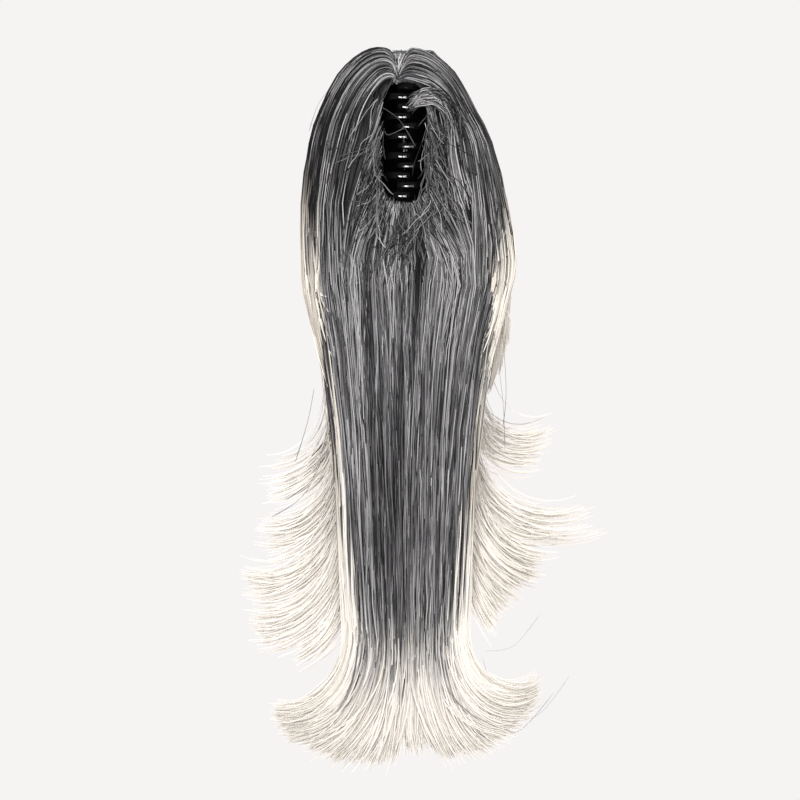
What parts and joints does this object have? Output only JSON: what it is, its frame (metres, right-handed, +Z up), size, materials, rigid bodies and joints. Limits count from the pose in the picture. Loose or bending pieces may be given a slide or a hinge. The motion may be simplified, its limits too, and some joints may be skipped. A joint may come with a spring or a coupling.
{
  "type": "claw-clip ponytail hairpiece",
  "caption": "Long layered false ponytail with flicked pale ends, on a black claw clip whose sprung jaw opens to grip a bun.",
  "frame": {"origin": "middle of the claw's grip, where the wearer's gathered hair is held", "axes": "+Z up with the hair hanging towards -Z, -Y out of the claw's mouth towards the head, +X to the right when looking into the mouth"},
  "size_m": [0.2521, 0.0961, 0.5032],
  "materials": {
    "black_plastic": "moulded, glossy black",
    "spring_steel": "bright drawn wire",
    "grey_hair": "straight synthetic hair, black and silver strands mixed, with cream ends",
    "pale_hair": "straight synthetic hair in cream, grey at the roots"
  },
  "bodies": {
    "hairpiece": {"claw_jaw_left": "black_plastic", "hinge_pin": "spring_steel", "hinge_spring": "spring_steel", "hair_crown": "grey_hair", "tail_long": "grey_hair", "layer_low": "pale_hair", "layer_mid": "pale_hair", "layer_high": "pale_hair", "layer_short": "pale_hair"},
    "right_jaw": {"claw_jaw_right": "black_plastic"}
  },
  "joints": [
    {"name": "claw_hinge", "type": "hinge", "parent": "hairpiece", "child": "right_jaw", "pos_m": [0, 0.016, 0], "axis": [0, 0, 1], "range_deg": [0, 60], "stiffness_Nm_per_rad": 0.15, "springref_deg": -20.05}
  ]
}
